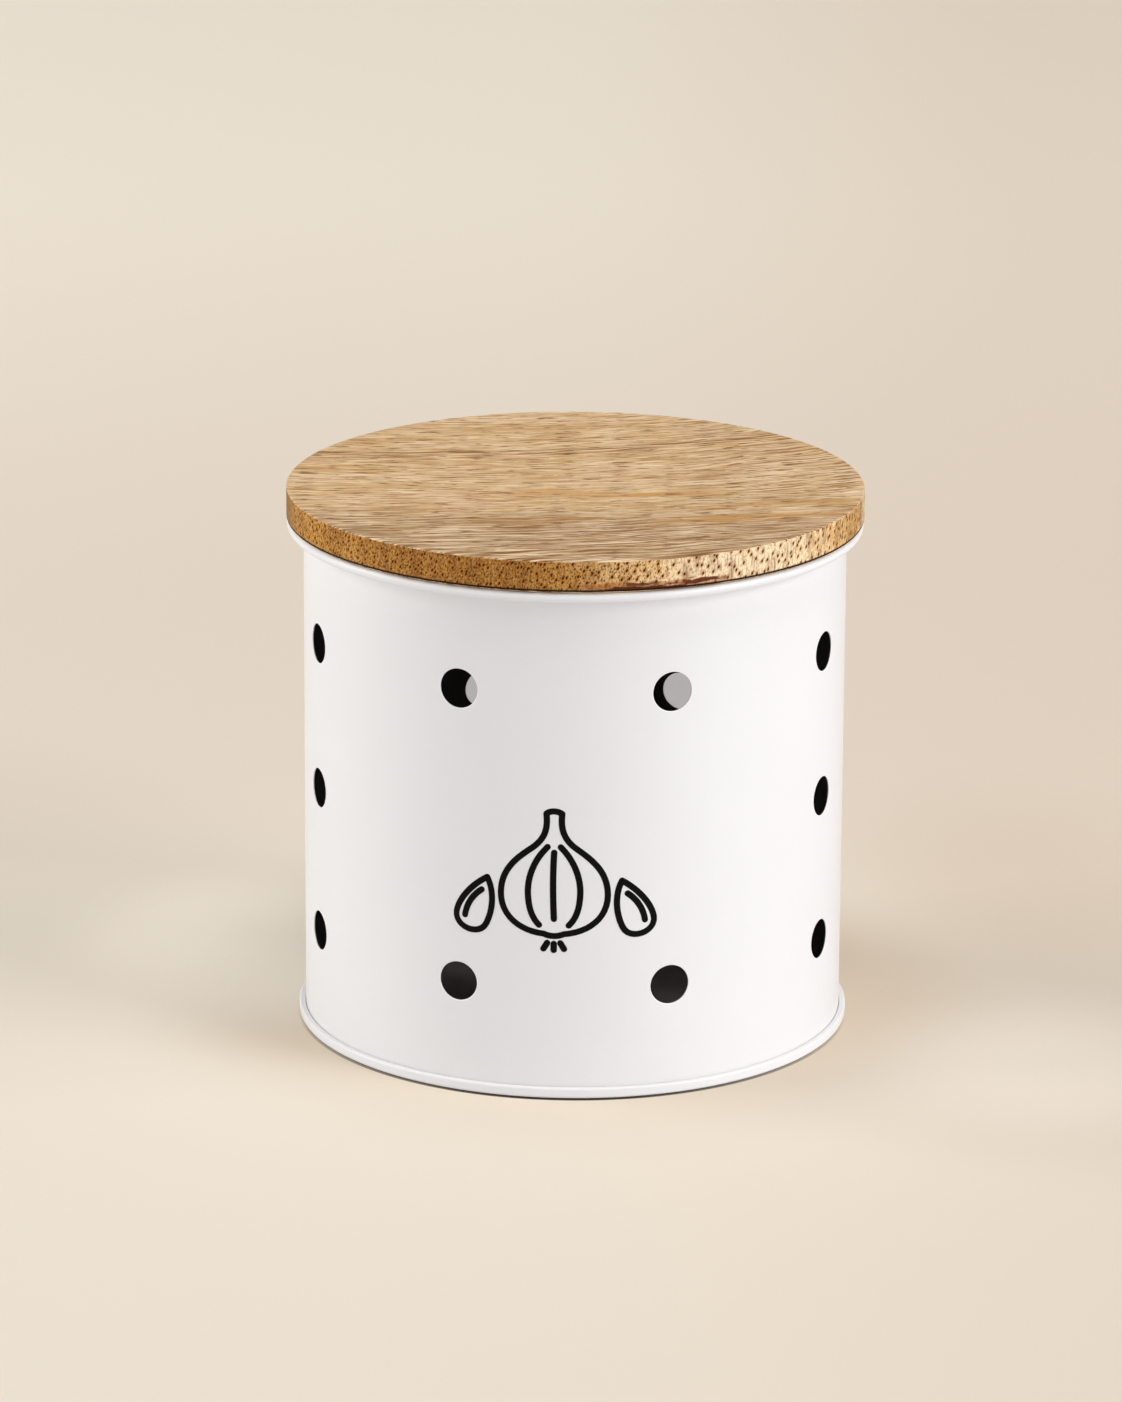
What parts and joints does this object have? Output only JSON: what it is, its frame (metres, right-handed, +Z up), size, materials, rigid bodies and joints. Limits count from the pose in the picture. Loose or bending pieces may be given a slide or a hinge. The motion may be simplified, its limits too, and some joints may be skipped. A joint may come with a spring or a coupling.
{
  "type": "garlic keeper",
  "caption": "Round ventilated garlic keeper: a rolled sheet-steel can with round vents, a rolled rim and a seamed base, and a wooden lid that drops into its mouth.",
  "frame": {"origin": "on the floor at the middle of the foot ring", "axes": "+Z up along the can's axis, the front is at -Y (the side whose two vent columns have no middle vent), the side seam is at +Y, +X to the right seen from the front"},
  "size_m": [0.1424, 0.1424, 0.136],
  "materials": {
    "can_paint": "smooth satin powder coat on sheet steel",
    "base_paint": "smooth satin powder coat on sheet steel",
    "board_wood": "oiled, fine open pores",
    "plug_wood": "oiled, fine open pores",
    "seal_silicone": "matte translucent silicone"
  },
  "bodies": {
    "can": {"body_wall": "can_paint", "base_pan": "base_paint"},
    "lid": {"lid_board": "board_wood", "lid_plug": "plug_wood", "lid_seal": "seal_silicone"}
  },
  "joints": [
    {"name": "lid_lift", "type": "slide", "parent": "can", "child": "lid", "axis": [0, 0, 1], "range_m": [0, 0.12]}
  ]
}
